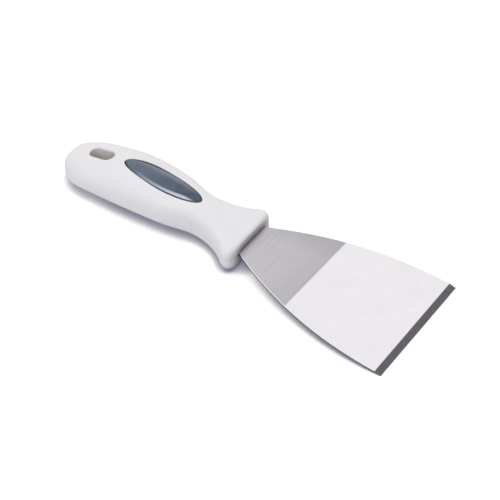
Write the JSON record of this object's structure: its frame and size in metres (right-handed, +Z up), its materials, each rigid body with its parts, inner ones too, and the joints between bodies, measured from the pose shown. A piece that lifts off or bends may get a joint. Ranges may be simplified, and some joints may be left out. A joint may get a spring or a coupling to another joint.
{
  "type": "stripping knife",
  "caption": "Flared, taper-ground steel scraping blade with a bevelled tip, in a rounded hollow plastic handle with an oval domed badge and a slot to hang it by.",
  "frame": {"origin": "bottom centre of the whole knife's box, on the plane it lies on", "axes": "+X from the butt of the handle to the tip of the blade, +Z up, +Y across the blade"},
  "size_m": [0.227, 0.0762, 0.0269],
  "materials": {
    "blade_steel": "brushed by the handle, polished towards the tip",
    "pin_steel": "turned",
    "handle_plastic": "satin",
    "badge_foam": "matt",
    "badge_blue": "printed, satin",
    "badge_resin": "clear gloss"
  },
  "bodies": {
    "root": {"blade": "blade_steel", "handle_lower_shell": "handle_plastic", "handle_upper_shell": "handle_plastic", "tang_pin_front": "pin_steel", "tang_pin_rear": "pin_steel", "badge_pad": "badge_foam", "badge_plate": "badge_blue", "badge_dome": "badge_resin"}
  },
  "joints": []
}
